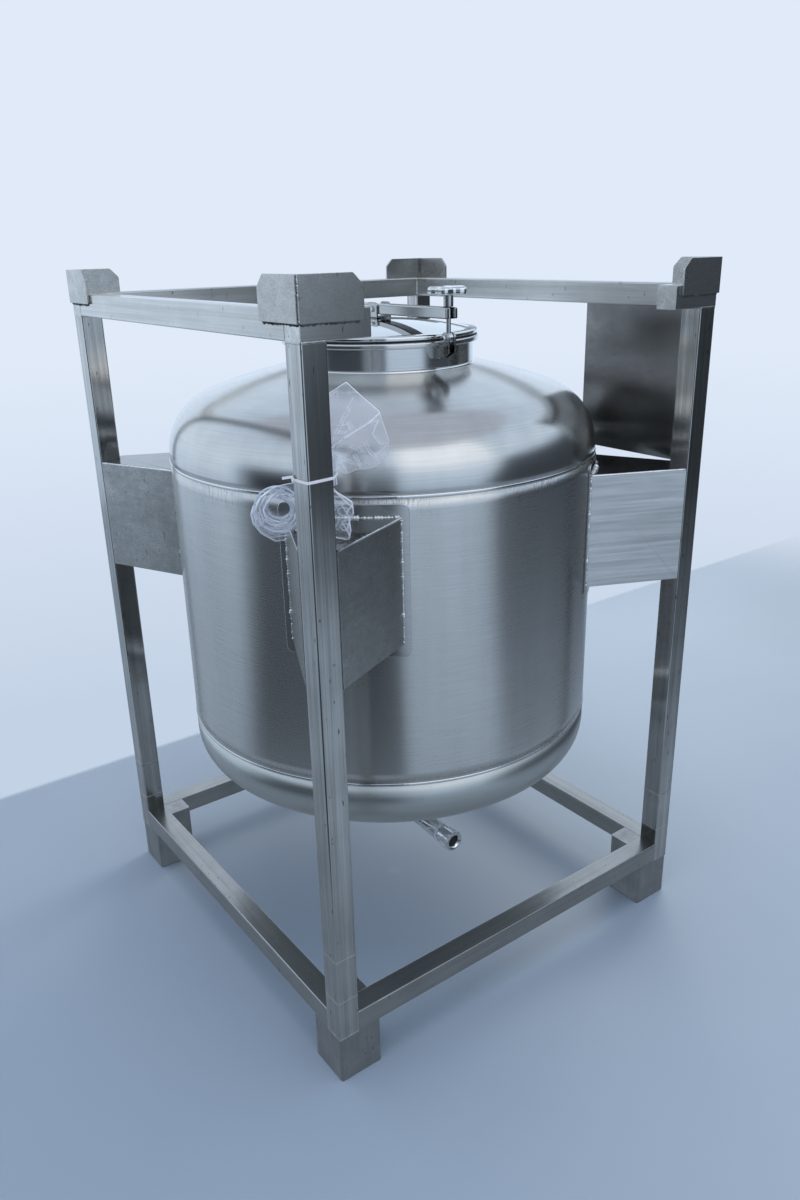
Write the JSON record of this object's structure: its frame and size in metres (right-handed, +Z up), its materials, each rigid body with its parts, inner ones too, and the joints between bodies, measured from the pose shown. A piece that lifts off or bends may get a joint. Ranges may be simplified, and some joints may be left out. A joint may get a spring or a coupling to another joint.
{
  "type": "stackable stainless steel storage tank",
  "caption": "Upright round steel storage tank hung on plate brackets in a square stackable tube frame, with a clamped manway lid and a bottom outlet.",
  "frame": {"origin": "middle of the footprint at the floor, under the vessel's axis", "axes": "+Z up along the vessel's axis; -Y faces the open side of the frame, where the outlet and the swing bolt are; +X is to the right seen from there"},
  "size_m": [1.0606, 1.0606, 1.63],
  "materials": {
    "tube_steel": "linished along the tube",
    "plate_steel": "mill plate, dull satin, with grinding marks",
    "vessel_steel": "satin, brushed round the vessel",
    "polished_steel": "polished bright",
    "gasket_rubber": "matt black",
    "bag_film": "clear soft film",
    "tie_nylon": "natural nylon"
  },
  "bodies": {
    "root": {"arm_hinge": "polished_steel", "arm_hinge_pin": "polished_steel", "bag": "bag_film", "bolt_ears": "polished_steel", "bottom_head": "vessel_steel", "bottom_rail_back": "tube_steel", "bottom_rail_front": "tube_steel", "bottom_rail_left": "tube_steel", "bottom_rail_right": "tube_steel", "bracket_back_left_cover": "plate_steel", "bracket_back_left_side_a": "plate_steel", "bracket_back_left_side_b": "plate_steel", "bracket_back_right_cover": "plate_steel", "bracket_back_right_side_a": "plate_steel", "bracket_back_right_side_b": "plate_steel", "bracket_front_left_cover": "plate_steel", "bracket_front_left_side_a": "plate_steel", "bracket_front_left_side_b": "plate_steel", "bracket_front_right_cover": "plate_steel", "bracket_front_right_side_a": "plate_steel", "bracket_front_right_side_b": "plate_steel", "cable_tie": "tie_nylon", "clamp_arm": "polished_steel", "foot_back_left": "tube_steel", "foot_back_right": "tube_steel", "foot_front_left": "tube_steel", "foot_front_right": "tube_steel", "lid": "polished_steel", "lid_lug": "polished_steel", "lid_lug_bolt": "polished_steel", "lug_back_left": "plate_steel", "lug_back_right": "plate_steel", "lug_front_left": "plate_steel", "lug_front_right": "plate_steel", "manway_gasket": "gasket_rubber", "manway_neck": "polished_steel", "outlet_elbow": "polished_steel", "outlet_ferrule": "polished_steel", "pad_back_left": "plate_steel", "pad_back_right": "plate_steel", "pad_front_left": "plate_steel", "pad_front_right": "plate_steel", "panel": "plate_steel", "post_back_left": "tube_steel", "post_back_right": "tube_steel", "post_front_left": "tube_steel", "post_front_right": "tube_steel", "shell": "vessel_steel", "stub_left": "tube_steel", "stub_right": "tube_steel", "top_head": "vessel_steel", "top_rail_back": "tube_steel", "top_rail_left": "tube_steel", "top_rail_right": "tube_steel"},
    "swing_bolt": {"swing_bolt": "polished_steel"},
    "hand_knob": {"hand_knob": "polished_steel"}
  },
  "joints": [
    {"name": "swing_bolt_hinge", "type": "hinge", "parent": "root", "child": "swing_bolt", "pos_m": [0, -0.25, 1.482], "axis": [1, 0, 0], "range_deg": [0, 100]},
    {"name": "hand_knob_thread", "type": "hinge", "parent": "swing_bolt", "child": "hand_knob", "pos_m": [0, -0.25, 1.578], "axis": [0, 0, 1], "continuous": true}
  ]
}
